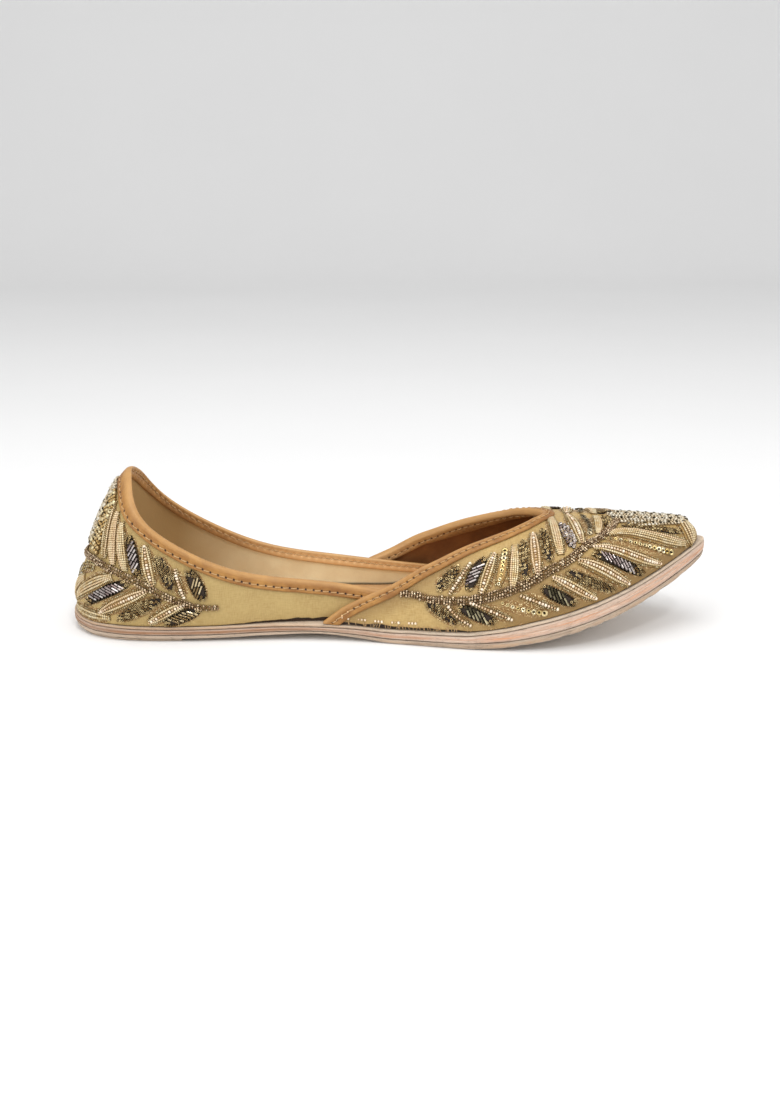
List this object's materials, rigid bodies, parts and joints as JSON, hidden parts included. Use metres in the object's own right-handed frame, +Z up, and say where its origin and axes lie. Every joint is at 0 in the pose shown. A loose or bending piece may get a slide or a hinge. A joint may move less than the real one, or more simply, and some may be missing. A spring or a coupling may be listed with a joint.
{
  "type": "embroidered slip-on shoe",
  "caption": "Flat, closed South Asian slip-on shoe with a pointed toe, a peaked heel, leather-bound edges and beaded leaf embroidery on a stacked leather sole.",
  "frame": {"origin": "on the floor, under the middle of the sole's length and width", "axes": "+X from heel to toe, +Y to the side away from the camera, +Z up"},
  "size_m": [0.255, 0.0802, 0.0637],
  "materials": {
    "outsole_leather": "unfinished sole leather, matt, with a cut edge",
    "lift_leather": "unfinished sole leather, matt",
    "midsole_leather": "burnished tan edge",
    "rand_leather": "pale and dull",
    "insole_leather": "smooth beige lining leather",
    "vamp_cloth": "gold cloth under bead embroidery",
    "quarter_cloth": "fine khaki gold weave, embroidered at the heel",
    "binding_leather": "satin tan leather, folded and stitched"
  },
  "bodies": {
    "root": {"outsole": "outsole_leather", "heel_lift": "lift_leather", "midsole": "midsole_leather", "rand": "rand_leather", "insole": "insole_leather", "vamp": "vamp_cloth", "vamp_binding": "binding_leather", "quarter": "quarter_cloth", "collar_binding": "binding_leather"}
  },
  "joints": []
}
